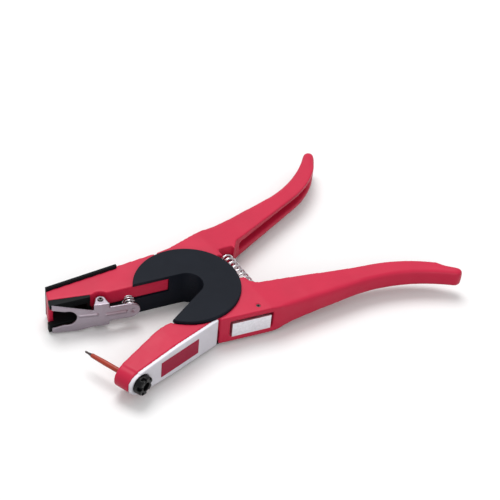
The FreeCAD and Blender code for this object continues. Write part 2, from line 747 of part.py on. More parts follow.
def make_cover(name, flipped):
    """A C-shaped cover with its collar and its throat wall. Both are one moulding, and the lower one
    is turned over about the throat's middle line."""
    body = new_body(name)
    if flipped:
        body.setExpression("Placement.Rotation.Axis.x", bound("cos(throat_turn / 2)"))
        body.setExpression("Placement.Rotation.Axis.y", bound("sin(throat_turn / 2)"))
        body.setExpression("Placement.Rotation.Axis.z", "0")
        body.setExpression("Placement.Rotation.Angle", "180 deg")
    else:
        body.setExpression("Placement.Rotation.Angle", bound("throat_turn * 1 deg"))
    plate = new_sketch(body, "plate", HALF)
    pad(draw_circle(plate, "cover_radius"), "cover_thickness")
    collar = new_sketch(body, "collar", "0")
    pad(draw_circle(collar, "collar_radius"), HALF)
    wall = new_sketch(body, "wall", f"{EYE_GAP} + part_gap", turn="180 + throat_half")
    reach = "(sqrt(eye_radius ^ 2 - (throat_radius + throat_wall) ^ 2))"
    draw_box(wall, "eye_split", "throat_radius - 1", reach, "throat_radius + throat_wall")
    pad(wall, f"{HALF} - {EYE_GAP} - part_gap")
    relief = new_sketch(body, "bar_relief", HALF, turn="180 - throat_half")
    draw_box(
        relief,
        "bar_end - part_gap",
        "-collar_radius - 1",
        "collar_radius",
        "-throat_radius * 0.9",
    )
    pocket(relief, HALF)
    throat = new_sketch(body, "throat", f"{HALF} + cover_thickness")
    radius = "throat_radius"
    side_x = f"{radius} * sin(throat_half)"
    side_y = f"{radius} * cos(throat_half)"
    far_x = f"({side_x} - 2 * cover_radius * cos(throat_half))"
    far_y = f"({side_y} + 2 * cover_radius * sin(throat_half))"
    draw(
        throat,
        [
            ("line", side_x, f"-{side_y}"),
            ("arc", radius, "0", radius),
            ("arc", side_x, side_y, radius),
            ("line", far_x, far_y),
            ("line", far_x, f"-{far_y}"),
        ],
    )
    pocket(throat)
    hole_radius = "screw_radius + part_gap" if flipped else "screw_radius"
    depth = "lever_thickness" if flipped else "screw_length - lever_thickness / 2"
    holes = new_sketch(body, "screw_holes", f"{HALF} + cover_thickness" if flipped else depth)
    for step in (-1, 0, 1):
        x = f"screw_circle * cos({step} * screw_spacing)"
        y = f"screw_circle * sin({step} * screw_spacing)"
        draw_circle(holes, hole_radius, x, y)
    pocket(holes, "2 * lever_thickness")
    if flipped:
        heads = new_sketch(body, "screw_heads", f"{HALF} + cover_thickness")
        for step in (-1, 0, 1):
            x = f"screw_circle * cos({step} * screw_spacing)"
            y = f"screw_circle * sin({step} * screw_spacing)"
            draw_circle(heads, "screw_head + part_gap", x, y)
        pocket(heads, "cover_thickness / 2")
    top = value(f"{HALF} + cover_thickness")
    rim = value("cover_radius")
    round_edges(body, "rim", "cover_edge", lambda edge: is_arc(edge, rim, top))
    return body


def make_cover_screws():
    """The screws that hold the two covers together through their collars, from below."""
    screws = []
    for step in (-1, 0, 1):
        angle = f"{step} * screw_spacing - throat_turn"
        x = f"screw_circle * cos({angle} + 2 * throat_turn)"
        y = f"screw_circle * sin({angle} + 2 * throat_turn)"
        shank = doc.addObject("Part::Cylinder", f"screw_shank_{step + 1}")
        shank.setExpression("Radius", bound("screw_radius"))
        shank.setExpression("Height", bound("screw_length"))
        head = doc.addObject("Part::Cylinder", f"screw_head_{step + 1}")
        head.setExpression("Radius", bound("screw_head"))
        head.setExpression("Height", bound("cover_thickness / 2 - part_gap"))
        screw = doc.addObject("Part::Fuse", f"screw_{step + 1}")
        screw.Base = shank
        screw.Tool = head
        set_place(screw, "Placement", x, y, "part_gap", "0")
        screws.append(screw)
    group = doc.addObject("Part::Compound", "cover_screws")
    group.Label = "cover_screws"
    group.Links = screws
    return group


def make_eye_washer():
    """The thin C-shaped wear washer between the two eyes."""
    body = new_body("eye_washer", z=f"{MID} - washer_thickness / 2")
    ring = new_sketch(body, "ring")
    draw_circle(ring, "eye_radius")
    draw_circle(ring, f"{BORE}")
    pad(ring, "washer_thickness")
    mouth = new_sketch(body, "mouth", "washer_thickness")
    draw_lines(
        mouth,
        ("0", "0"),
        ("2 * eye_radius * cos(eye_far_end)", "2 * eye_radius * sin(eye_far_end)"),
        ("-3 * eye_radius", "0"),
        ("2 * eye_radius * cos(eye_end)", "-2 * eye_radius * sin(eye_end)"),
    )
    pocket(mouth)
    return body


# ---------------------------------------------------------------- tag jaw


def make_tag_jaw_backing():
    """The strip along the tag jaw's back, which stands a little above the jaw."""
    body = new_body("tag_jaw_backing", turn=TAG_BACK_LINE)
    strip = new_sketch(body, "strip", f"-{HALF}")
    draw_box(
        strip, "backing_start", f"-{TAG_BACK}", TAG_BACK_TIP, f"-{TAG_BACK} + backing_thickness"
    )
    pad(strip, "lever_thickness + backing_rise")
    return body


def make_jaw_liner():
    """The liner: a block with the tag's cup, a long lip down to the throat and an upper strip."""
    body = new_body("jaw_liner", turn="tag_jaw_angle")
    tip_wall = "tag_jaw_reach - jaw_wall - part_gap"
    start = "cup_start + part_gap"
    slope = "tan(tag_back_slope)"
    back_zero = f"({TAG_BACK} / cos(tag_back_slope))"
    back = f"-({back_zero} - ({{}}) * {slope} - backing_thickness - jaw_wall - 2 * part_gap)"
    block = new_sketch(body, "block")
    face = f"-((throat_radius - ({{}}) * sin({JAW_TO_THROAT})) / cos({JAW_TO_THROAT}))"
    draw_lines(
        block,
        (start, back.format(start)),
        (start, face.format(start)),
        (tip_wall, face.format(tip_wall)),
        (tip_wall, back.format(tip_wall)),
    )
    pad(block, "lever_thickness - 2 * jaw_wall - 2 * part_gap", symmetric=True)
    lip = new_sketch(body, "lip", "-part_gap", turn=JAW_TO_THROAT)
    lip_back = "-throat_radius - lip_thickness"
    lip_tip = f"(tag_jaw_reach + jaw_wall / 5) * cos({JAW_TO_THROAT})"
    draw_box(lip, "cover_radius - stop_gap", lip_back, lip_tip, "-throat_radius")
    lip_pad = pad(lip, f"{HALF} + lip_drop - part_gap")
    lip_pad.Reversed = True
    strip = new_sketch(body, "strip", f"{HALF} - strip_thickness")
    draw_lines(
        strip,
        ("cup_start", "-tag_jaw_face + part_gap"),
        ("cup_start", face.format("cup_start")),
        ("tag_jaw_reach", face.format("tag_jaw_reach")),
        ("tag_jaw_reach", "-tag_jaw_face + part_gap"),
    )
    pad(strip, "strip_thickness")
    rim = new_sketch(body, "strip_web", f"{HALF} - jaw_wall - strip_thickness")
    draw_lines(
        rim,
        ("cup_start + part_gap", "-tag_jaw_face + part_gap"),
        ("cup_start + part_gap", face.format("cup_start + part_gap")),
        (tip_wall, face.format(tip_wall)),
        (tip_wall, "-tag_jaw_face + part_gap"),
    )
    pad(rim, "strip_thickness + jaw_wall / 2")
    hollow = new_sketch(body, "hollow")
    draw_box(
        hollow,
        "cup_start + liner_wall",
        "-eye_radius",
        "tag_jaw_reach + jaw_wall",
        "jaw_wall",
    )
    pocket(hollow, "cup_height", symmetric=True)
    rest = new_sketch(body, "knuckle_room", "0", turn="0")
    draw_box(
        rest,
        "hinge_along - knuckle_radius - 3 * eye_clearance",
        "-eye_radius",
        "hinge_along + knuckle_radius + 3 * eye_clearance",
        "jaw_wall",
    )
    pocket(rest, "ear_height + clip_thickness / 2")
    relief = new_sketch(body, "cover_room", HALF, turn="-tag_jaw_angle")
    draw_circle(relief, "cover_radius + part_gap * 3")
    pocket(relief)
    return body


def make_hinge_pin():
    """The roll pin on which the clip turns."""
    body = new_body(
        "clip_hinge_pin",
        x="hinge_along * cos(tag_jaw_angle) + hinge_off * sin(tag_jaw_angle)",
        y="hinge_along * sin(tag_jaw_angle) - hinge_off * cos(tag_jaw_angle)",
    )
    rod = new_sketch(body, "rod")
    draw_circle(rod, "hinge_radius")
    draw_circle(rod, "hinge_radius / 2")
    pad(rod, "2 * ear_height + 2 * clip_thickness", symmetric=True)
    return body


def clip_frame(name):
    """A body in the clip's frame: X along the tag jaw from the hinge, Y out of the jaw."""
    return new_body(
        name,
        x="hinge_along * cos(tag_jaw_angle) + hinge_off * sin(tag_jaw_angle)",
        y="hinge_along * sin(tag_jaw_angle) - hinge_off * cos(tag_jaw_angle)",
        turn="tag_jaw_angle",
    )


def make_tag_clip():
    """The stamped clip: a fork for the tag, two ears for the hinge and a thumb lobe."""
    body = clip_frame("tag_clip")
    sheet_plan = new_sketch(body, "bend")
    front_out = "clip_standoff - fork_inset"
    rear_x = "-(clip_rear + lobe_radius)"
    rear_out = "clip_standoff - lobe_inset"
    draw_lines(
        sheet_plan,
        ("0", "clip_standoff"),
        (rear_x, rear_out),
        (rear_x, f"{rear_out} - clip_thickness"),
        ("0", "clip_standoff - clip_thickness"),
        ("clip_front", f"{front_out} - clip_thickness"),
        ("clip_front", front_out),
    )
    pad(sheet_plan, "fork_height", symmetric=True)
    side = new_sketch(body, "slot", plane="XZ_Plane")
    slot = f"clip_front - {SLOT_CENTRE}"
    draw(
        side,
        [
            ("line", "clip_front + clip_thickness", "-slot_radius"),
            ("line", "clip_front + clip_thickness", "slot_radius"),
            ("line", SLOT_CENTRE, "slot_radius"),
            ("arc", f"{SLOT_CENTRE} - slot_radius", "0", "slot_radius"),
            ("arc", SLOT_CENTRE, "-slot_radius", "slot_radius"),
        ],
    )
    pocket(side)
    for sign, name in ((1, "upper_trim"), (-1, "lower_trim")):
        trim = new_sketch(body, name, plane="XZ_Plane")
        draw_lines(
            trim,
            (f"-(clip_rear + 2 * lobe_radius)", f"{sign} * fork_height"),
            (f"-(clip_rear + 2 * lobe_radius)", f"{sign} * lobe_radius"),
            ("-knuckle_radius * 1.5", f"{sign} * lobe_radius"),
            ("-knuckle_radius * 1.5", f"{sign} * (ear_height + clip_thickness / 2)"),
            ("knuckle_radius * 1.5", f"{sign} * (ear_height + clip_thickness / 2)"),
            ("clip_front / 2", f"{sign} * fork_height / 2"),
            ("clip_front / 2", f"{sign} * fork_height"),
        )
        pocket(trim)
    end = new_sketch(body, "lobe", plane="XZ_Plane")
    draw(
        end,
        [
            ("line", "-clip_rear", "lobe_radius"),
            ("arc", "-clip_rear - lobe_radius", "0", "lobe_radius"),
            ("arc", "-clip_rear", "-lobe_radius", "lobe_radius"),
            ("line", "-clip_rear - 2 * lobe_radius", "-lobe_radius"),
            ("line", "-clip_rear - 2 * lobe_radius", "lobe_radius"),
        ],
    )
    pocket(end)
    for sign, name in ((1, "upper_ear"), (-1, "lower_ear")):
        ear = new_sketch(body, name, f"{sign} * ear_height - clip_thickness / 2")
        draw(
            ear,
            [
                ("line", "knuckle_radius * 1.5", "clip_standoff - clip_thickness / 2"),
                ("line", "knuckle_radius", "0"),
                ("arc", "-knuckle_radius", "0", "-knuckle_radius * 1.001"),
                ("line", "-knuckle_radius * 1.5", "clip_standoff - clip_thickness / 2"),
            ],
        )
        pad(ear, "clip_thickness")
    hole = new_sketch(body, "hinge_hole")
    pocket(draw_circle(hole, "hinge_radius + hinge_fit"))
    return body


SLOT_CENTRE = "(pin_reach - hinge_along)"


# ---------------------------------------------------------------- pin jaw


def pin_frame(name):
    """A body in the pin's frame: Y along the pin, from the jaw's inner face outwards."""
    return new_body(
        name,
        x="pin_reach * cos(pin_jaw_angle) - pin_jaw_face * sin(pin_jaw_angle)",
        y="pin_reach * sin(pin_jaw_angle) + pin_jaw_face * cos(pin_jaw_angle)",
        turn="pin_jaw_angle",
    )


def make_applicator_pin():
    """The steel pin: a flange in the jaw, a core inside the sleeve and a bare tip."""
    body = pin_frame("applicator_pin")
    core = new_sketch(body, "core")
    radius = "pin_tip_radius + part_gap * 4"
    draw_lines(
        core,
        ("0", "-pin_length"),
        ("pin_tip_radius * 0.6", "-pin_length"),
        ("pin_tip_radius", "-pin_length + pin_tip_radius"),
        ("pin_tip_radius", "-pin_length + pin_tip_length"),
        (radius, "-pin_length + 2 * pin_tip_length"),
        (radius, "pin_wall + part_gap"),
        ("pin_flange_radius", "pin_wall + part_gap"),
        ("pin_flange_radius", "pin_wall + pin_flange"),
        ("0", "pin_wall + pin_flange"),
    )
    turned("Revolution", core)
    return body


def make_pin_sleeve():
    """The sleeve on the pin's shaft: a tapered front end, and a neck that sits in the jaw's hole."""
    body = pin_frame("pin_sleeve")
    tube = new_sketch(body, "tube")
    inner = "pin_tip_radius + part_gap * 4 + hinge_fit / 2"
    tip = "-pin_length + 2 * pin_tip_length"
    draw_lines(
        tube,
        (inner, tip),
        (f"{inner} + part_gap * 2", tip),
        ("pin_radius * 0.86", f"{tip} + pin_radius"),
        ("pin_radius", f"{tip} + 6 * pin_radius"),
        ("pin_radius", "-sleeve_shoulder"),
        ("sleeve_neck", "-sleeve_shoulder"),
        ("sleeve_neck", "pin_wall"),
        (inner, "pin_wall"),
    )
    turned("Revolution", tube)
    return body


NUT_FACE = "(pin_tip_back + (pin_jaw_reach - pin_reach) * tan(pin_back_slope) - pin_jaw_face)"


def make_pin_nut():
    """The retaining nut that screws in from the jaw's back and clamps the pin's flange."""
    body = pin_frame("pin_nut")
    nut = new_sketch(body, "nut")
    seat = f"({NUT_FACE} - insert_plate / 2)"
    end = f"({NUT_FACE} + nut_rise)"
    draw_lines(
        nut,
        ("0", "pin_wall + pin_flange + part_gap"),
        ("nut_shank", "pin_wall + pin_flange + part_gap"),
        ("nut_shank", seat),
        ("nut_radius", seat),
        ("nut_radius", f"{end} - part_gap * 5"),
        ("nut_radius - part_gap * 5", end),
        ("nut_key", end),
        ("nut_key", f"{end} - nut_key_depth"),
        ("0", f"{end} - nut_key_depth"),
    )
    turned("Revolution", nut)
    doc.recompute()
    slot = new_sketch(body, "slot", f"-({end})", plane="XZ_Plane")
    draw_box(
        slot, "nut_radius * 0.78", "-nut_slot_width / 2", "nut_radius + 1", "nut_slot_width / 2"
    )
    cut = add_feature("Pocket", slot, "nut_rise", False)
    cut.Reversed = False
    doc.recompute()
    ring = body.newObject("PartDesign::PolarPattern", "pin_nut_slots")
    ring.Originals = [cut]
    ring.Axis = (slot, ["N_Axis"])
    ring.Angle = 360
    ring.setExpression("Occurrences", bound("nut_slots"))
    body.Tip = ring
    return body


def make_pin_jaw_insert():
    """The insert that closes the pin jaw's back: an outer plate with a block behind it."""
    body = new_body("pin_jaw_insert")
    plate = new_sketch(body, "plate", turn=PIN_BACK_LINE)
    start = f"(({STOP} - {PIN_BACK} * sin({PIN_BACK_LINE})) / -cos({PIN_BACK_LINE}))"
    draw_box(
        plate,
        start,
        f"{PIN_BACK} - insert_plate",
        f"{PIN_BACK_TIP} - part_gap",
        PIN_BACK,
    )
    pad(plate, "lever_thickness", symmetric=True)
    thin_pin_jaw(body)
    root = new_sketch(body, "root_relief")
    pocket(draw_circle(root, RELIEF))
    block = new_sketch(body, "block", turn=PIN_BACK_LINE)
    draw_box(
        block,
        "insert_start",
        f"{PIN_BACK} - insert_plate - insert_depth",
        "insert_end",
        f"{PIN_BACK} - insert_plate / 2",
    )
    pad(block, "insert_height", symmetric=True)
    seat = pin_sketch(body, "nut_hole")
    spot = f"({NUT_FACE} - insert_plate / 2 - part_gap)"
    draw_lines(
        seat,
        ("0", "pin_wall"),
        ("nut_shank + part_gap", "pin_wall"),
        ("nut_shank + part_gap", spot),
        ("nut_radius + part_gap * 4", spot),
        ("nut_radius + part_gap * 4", f"{NUT_FACE} + nut_rise"),
        ("0", f"{NUT_FACE} + nut_rise"),
    )
    turned("Groove", seat)
    return body


def make_label_plate():
    """The blank label plate on the insert."""
    body = new_body("label_plate", turn=PIN_BACK_LINE)
    plate = new_sketch(body, "plate")
    draw_box(
        plate,
        "label_start",
        PIN_BACK,
        "label_start + label_length",
        f"{PIN_BACK} + label_thickness",
    )
    pad(plate, "label_height", symmetric=True)
    return body


# ---------------------------------------------------------------- latch and springs


def make_latch_lever():
    """The latch: a small channel-shaped lever in the lower handle's window."""
    body = new_body("latch_lever", x="latch_x", y="latch_y", turn="-latch_turn")
    plan = new_sketch(body, "plan")
    draw_lines(
        plan,
        ("-latch_nose", "-latch_out"),
        ("latch_tail", "-latch_out"),
        ("latch_tail", "latch_in"),
        ("-nose_root / 2", "latch_in"),
        ("-nose_root", "-nose_in"),
        ("-latch_nose", "-nose_in"),
    )
    pad(plan, "latch_height", symmetric=True)
    channel = new_sketch(body, "channel")
    draw_box(
        channel,
        "-latch_nose + latch_wall",
        "-latch_out + latch_wall",
        "latch_tail + latch_wall",
        "latch_in + latch_wall",
    )
    pocket(channel, "latch_height - 2 * latch_wall", symmetric=True)
    hole = new_sketch(body, "hole")
    pocket(draw_circle(hole, "latch_pin_radius + latch_fit"))
    return body


def make_latch_pin():
    """The roll pin on which the latch turns."""
    body = new_body("latch_pivot_pin", x="latch_x", y="latch_y")
    rod = new_sketch(body, "rod")
    draw_circle(rod, "latch_pin_radius")
    draw_circle(rod, "latch_pin_radius / 2")
    pad(rod, "lever_thickness - 2 * eye_clearance", symmetric=True)
    return body


WIRE_SIDES = 6  # the round wire is a six-sided prism, so that the coils stay light


def coil(name, wire, radius, height, turns, x, y, turn):
    """A coil spring lying in the middle plane: its axis starts at x, y and runs along turn + 90."""
    helix = doc.addObject("Part::Helix", f"{name}_line")
    helix.setExpression("Radius", bound(radius))
    helix.setExpression("Height", bound(height))
    helix.setExpression("Pitch", bound(f"({height}) / ({turns})"))
    section = doc.addObject("Part::RegularPolygon", f"{name}_wire")
    section.Polygon = WIRE_SIDES
    section.setExpression("Circumradius", bound(f"{wire} / 2"))
    section.Placement = FreeCAD.Placement(V(value(radius), 0, 0), FreeCAD.Rotation(V(1, 0, 0), 90))
    section.setExpression("Placement.Base.x", bound(f"({radius}) * 1 mm"))
    doc.recompute()
    sweep = doc.addObject("Part::Sweep", f"{name}_coil")
    sweep.Sections = [section]
    sweep.Spine = (helix, [f"Edge{i + 1}" for i in range(len(helix.Shape.Edges))])
    sweep.Solid = True
    sweep.Frenet = True
    group = doc.addObject("Part::Compound", name)
    group.Label = name
    group.Links = [sweep]
    lay = FreeCAD.Rotation(V(1, 0, 0), -90)
    base = V(value(x), value(y), value(MID))
    group.Placement = FreeCAD.Placement(base, FreeCAD.Rotation(V(0, 0, 1), value(turn)) * lay)
    return group


def make_return_spring():
    """The compression spring between the handles, which opens the jaws."""
    length = (
        "sqrt((seat_upper_x - seat_lower_x) ^ 2 + (seat_upper_y - seat_lower_y) ^ 2) - spring_wire"
    )
    return coil(
        "return_spring",
        "spring_wire",
        "spring_coil",
        length,
        "spring_turns",
        f"seat_lower_x - spring_wire / 2 * sin({SPRING_TURN})",
        f"seat_lower_y + spring_wire / 2 * cos({SPRING_TURN})",
        SPRING_TURN,
    )


def make_clip_spring():
    """The small compression spring between the tag jaw and the clip's thumb lobe."""
    along = "(hinge_along - clip_rear)"
    wall = f"((throat_radius - {along} * sin({JAW_TO_THROAT})) / cos({JAW_TO_THROAT}))"
    plate = "(clip_standoff - lobe_inset - clip_thickness - hinge_off)"
    start = f"(-{wall} + clip_wire + part_gap)"
    return coil(
        "clip_spring",
        "clip_wire",
        "clip_coil",
        f"{plate} - {start} - clip_wire",
        "clip_turns",
        f"{along} * cos(tag_jaw_angle) - {start} * sin(tag_jaw_angle)",
        f"{along} * sin(tag_jaw_angle) + {start} * cos(tag_jaw_angle)",
        "tag_jaw_angle",
    )


# ---------------------------------------------------------------- build

NODES = [
    make_tag_jaw_lever(),
    make_pin_jaw_lever(),
    make_cover("top_cover", flipped=False),
    make_cover("bottom_cover", flipped=True),
    make_cover_screws(),
    make_eye_washer(),
    make_tag_jaw_backing(),
    make_jaw_liner(),
    make_hinge_pin(),
    make_tag_clip(),
    make_clip_spring(),
    make_applicator_pin(),
    make_pin_sleeve(),
    make_pin_nut(),
    make_pin_jaw_insert(),
    make_label_plate(),
    make_latch_lever(),
    make_latch_pin(),
    make_return_spring(),
]
doc.recompute()

faults = [
    f"{item.Name}: {item.State}"
    for item in doc.Objects
    if "Invalid" in item.State or "Error" in item.State
]
for node in NODES:
    if node.Shape.isNull() or not node.Shape.isValid() or not node.Shape.Solids:
        faults.append(f"{node.Label}: no valid solid")
if faults:
    raise RuntimeError("; ".join(faults))

os.makedirs("parts", exist_ok=True)
for node in NODES:
    node.Shape.exportStep(f"parts/{node.Label}.step")
    print(node.Label, len(node.Shape.Solids), "solids", round(node.Shape.Volume, 1), "mm3")
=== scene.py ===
import json
import math

import bmesh
import bpy
import numpy as np
from mathutils import Matrix, Vector


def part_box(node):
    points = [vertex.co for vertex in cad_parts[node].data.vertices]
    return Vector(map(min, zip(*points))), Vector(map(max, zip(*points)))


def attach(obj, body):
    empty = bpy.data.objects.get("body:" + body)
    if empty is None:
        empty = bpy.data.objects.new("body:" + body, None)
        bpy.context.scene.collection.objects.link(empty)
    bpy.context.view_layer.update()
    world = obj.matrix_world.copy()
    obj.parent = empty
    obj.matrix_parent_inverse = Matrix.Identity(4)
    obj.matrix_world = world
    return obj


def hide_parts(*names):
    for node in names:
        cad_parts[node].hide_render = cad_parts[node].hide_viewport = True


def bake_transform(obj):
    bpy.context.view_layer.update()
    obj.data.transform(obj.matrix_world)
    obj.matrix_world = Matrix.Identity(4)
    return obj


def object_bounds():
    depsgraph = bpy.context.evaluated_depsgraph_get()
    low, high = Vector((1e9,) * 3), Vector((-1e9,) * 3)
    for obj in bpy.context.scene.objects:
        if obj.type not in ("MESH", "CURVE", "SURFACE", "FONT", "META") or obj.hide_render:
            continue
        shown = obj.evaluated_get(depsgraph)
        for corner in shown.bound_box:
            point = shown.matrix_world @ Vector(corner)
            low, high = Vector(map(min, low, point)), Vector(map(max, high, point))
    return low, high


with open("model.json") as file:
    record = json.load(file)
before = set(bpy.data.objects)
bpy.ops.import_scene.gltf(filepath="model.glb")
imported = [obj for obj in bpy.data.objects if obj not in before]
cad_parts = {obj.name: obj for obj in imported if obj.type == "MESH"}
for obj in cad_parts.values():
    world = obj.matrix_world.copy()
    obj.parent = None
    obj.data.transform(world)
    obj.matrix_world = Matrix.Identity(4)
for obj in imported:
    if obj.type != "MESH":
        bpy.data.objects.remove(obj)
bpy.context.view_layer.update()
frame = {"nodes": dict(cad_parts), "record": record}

NODES = frame["nodes"]
MM = 0.001

# ---------------------------------------------------------------- camera

FOCAL = 1300.0          # focal length in image widths of 500
IMAGE = 500.0
ELEVATION = math.radians(40.5)
AZIMUTH = math.radians(-40.0)
ROLL = math.radians(6.0)
DISTANCE = 0.780
HUB_AT = (187.3 - 250.0, 250.0 - 283.9)   # hub's top in the image, right and up from its middle


def make_camera():
    """The camera looks down at the hub's top; the hub stands left of and below the middle."""
    ahead = Vector((0, math.cos(ELEVATION), -math.sin(ELEVATION)))
    right = Vector((1, 0, 0))
    up = right.cross(ahead)
    tilted_right = right * math.cos(ROLL) + up * math.sin(ROLL)
    tilted_up = up * math.cos(ROLL) - right * math.sin(ROLL)
    turn = Matrix.Rotation(AZIMUTH, 3, "Z")
    ahead, tilted_right, tilted_up = turn @ ahead, turn @ tilted_right, turn @ tilted_up
    hub_top = Vector((0, 0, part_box("top_cover")[1].z))
    shift = tilted_right * HUB_AT[0] + tilted_up * HUB_AT[1]
    place = hub_top - ahead * DISTANCE - shift * (DISTANCE / FOCAL)
    data = bpy.data.cameras.new("camera")
    data.lens = data.sensor_width * FOCAL / IMAGE
    data.clip_start = 0.01
    data.clip_end = 20
    camera = bpy.data.objects.new("camera", data)
    axes = Matrix((tilted_right, tilted_up, -ahead)).transposed()
    camera.matrix_world = Matrix.Translation(place) @ axes.to_4x4()
    bpy.context.scene.collection.objects.link(camera)
    bpy.context.scene.camera = camera


# ---------------------------------------------------------------- materials


class Shade:
    """A procedural material under construction: short calls add and join its nodes."""

    def __init__(self, name):
        self.material = bpy.data.materials.new(name)
        self.material.use_nodes = True
        self.tree = self.material.node_tree
        self.shader = self.tree.nodes["Principled BSDF"]
        self.place = self.add("ShaderNodeTexCoord").outputs["Object"]

    def add(self, kind, **settings):
        node = self.tree.nodes.new(kind)
        for key, setting in settings.items():
            setattr(node, key, setting)
        return node

    def link(self, output, target):
        self.tree.links.new(output, target)

    def set(self, **sockets):
        for key, setting in sockets.items():
            self.shader.inputs[key.replace("_", " ")].default_value = setting
        return self

    def noise(self, scale, detail=3.0, roughness=0.55, stretch=(1, 1, 1)):
        mapping = self.add("ShaderNodeMapping")
        mapping.inputs["Scale"].default_value = stretch
        self.link(self.place, mapping.inputs["Vector"])
        noise = self.add("ShaderNodeTexNoise")
        noise.inputs["Scale"].default_value = scale
        noise.inputs["Detail"].default_value = detail
        noise.inputs["Roughness"].default_value = roughness
        self.link(mapping.outputs["Vector"], noise.inputs["Vector"])
        return noise.outputs["Fac"]

    def ramp(self, factor, stops):
        ramp = self.add("ShaderNodeValToRGB")
        ramp.color_ramp.elements[0].position, ramp.color_ramp.elements[0].color = stops[0]
        ramp.color_ramp.elements[1].position, ramp.color_ramp.elements[1].color = stops[-1]
        for position, color in stops[1:-1]:
            ramp.color_ramp.elements.new(position).color = color
        self.link(factor, ramp.inputs["Fac"])
        return ramp.outputs["Color"]

    def span(self, factor, low, high, start=0.3, end=0.7):
        span = self.add("ShaderNodeMapRange")
        span.inputs["From Min"].default_value = start
        span.inputs["From Max"].default_value = end
        span.inputs["To Min"].default_value = low
        span.inputs["To Max"].default_value = high
        self.link(factor, span.inputs["Value"])
        return span.outputs["Result"]

    def wear(self, reach, low, high):
        """How sharp the edge under a point is, from 0 to 1."""
        bevel = self.add("ShaderNodeBevel", samples=6)
        bevel.inputs["Radius"].default_value = reach
        normal = self.add("ShaderNodeNewGeometry").outputs["Normal"]
        dot = self.add("ShaderNodeVectorMath", operation="DOT_PRODUCT")
        self.link(bevel.outputs["Normal"], dot.inputs[0])
        self.link(normal, dot.inputs[1])
        return self.span(dot.outputs["Value"], 1.0, 0.0, low, high)

    def mix(self, factor, first, second):
        mix = self.add("ShaderNodeMix", data_type="RGBA")
        colors = [socket for socket in mix.inputs if socket.type == "RGBA"]
        if hasattr(factor, "is_linked"):
            self.link(factor, mix.inputs["Factor"])
        else:
            mix.inputs["Factor"].default_value = factor
        for socket, color in zip(colors, (first, second)):
            if hasattr(color, "is_linked"):
                self.link(color, socket)
            else:
                socket.default_value = color
        return next(socket for socket in mix.outputs if socket.type == "RGBA")

    def color(self, output):
        self.link(output, self.shader.inputs["Base Color"])
        return self

    def rough(self, output):
        self.link(output, self.shader.inputs["Roughness"])
        return self

    def bump(self, height, depth, strength=1.0, edge=0.0):
        """Fine relief, over edges softened by a bevel of that radius."""
        bump = self.add("ShaderNodeBump")
        bump.inputs["Distance"].default_value = depth
        bump.inputs["Strength"].default_value = strength
        self.link(height, bump.inputs["Height"])
        if edge:
            bevel = self.add("ShaderNodeBevel", samples=6)
            bevel.inputs["Radius"].default_value = edge
            self.link(bevel.outputs["Normal"], bump.inputs["Normal"])
        self.link(bump.outputs["Normal"], self.shader.inputs["Normal"])
        return self


def srgb(red, green, blue):
    """A colour from its 0 to 255 screen values."""
    parts = []
    for level in (red, green, blue):
        level /= 255
        parts.append(level / 12.92 if level <= 0.04045 else ((level + 0.055) / 1.055) ** 2.4)
    return (*parts, 1.0)


def coated(name, base, edge_color, grain=900.0):
    """Satin powder coat: faint orange peel, slight mottle, paler worn edges."""
    shade = Shade(name)
    dark = tuple(c * 0.9 for c in base[:3]) + (1,)
    paint = shade.ramp(shade.noise(40, 4), [(0.3, dark), (0.7, base)])
    worn = shade.wear(0.0006, 0.86, 0.97)
    shade.color(shade.mix(worn, paint, edge_color))
    shade.rough(shade.span(shade.noise(120, 3), 0.4, 0.52))
    shade.bump(shade.noise(grain, 2), 0.00003, 0.5, edge=0.0005)
    shade.set(Specular_IOR_Level=0.3)
    return shade.material


def plastic(name, base, rough=(0.4, 0.5), grain=1500.0, depth=0.00002, edge=0.0004, gloss=0.35):
    """Moulded plastic: fine erosion texture and slight colour variation."""
    shade = Shade(name)
    dark = tuple(c * 0.86 for c in base[:3]) + (1,)
    shade.color(shade.ramp(shade.noise(60, 4), [(0.3, dark), (0.7, base)]))
    shade.rough(shade.span(shade.noise(200, 3), *rough))
    shade.bump(shade.noise(grain, 2), depth, 0.6, edge=edge)
    shade.set(Specular_IOR_Level=gloss)
    return shade.material


def metal(name, base, rough=(0.25, 0.4), stretch=(1, 1, 1), grain=600.0, edge=0.0002):
    """Bare or plated metal with drawn lines along one direction."""
    shade = Shade(name)
    lines = shade.noise(grain, 4, stretch=stretch)
    dark = tuple(c * 0.78 for c in base[:3]) + (1,)
    shade.color(shade.ramp(lines, [(0.25, dark), (0.75, base)]))
    shade.rough(shade.span(lines, *rough))
    shade.bump(lines, 0.00002, 0.4, edge=edge)
    shade.set(Metallic=1.0)
    return shade.material


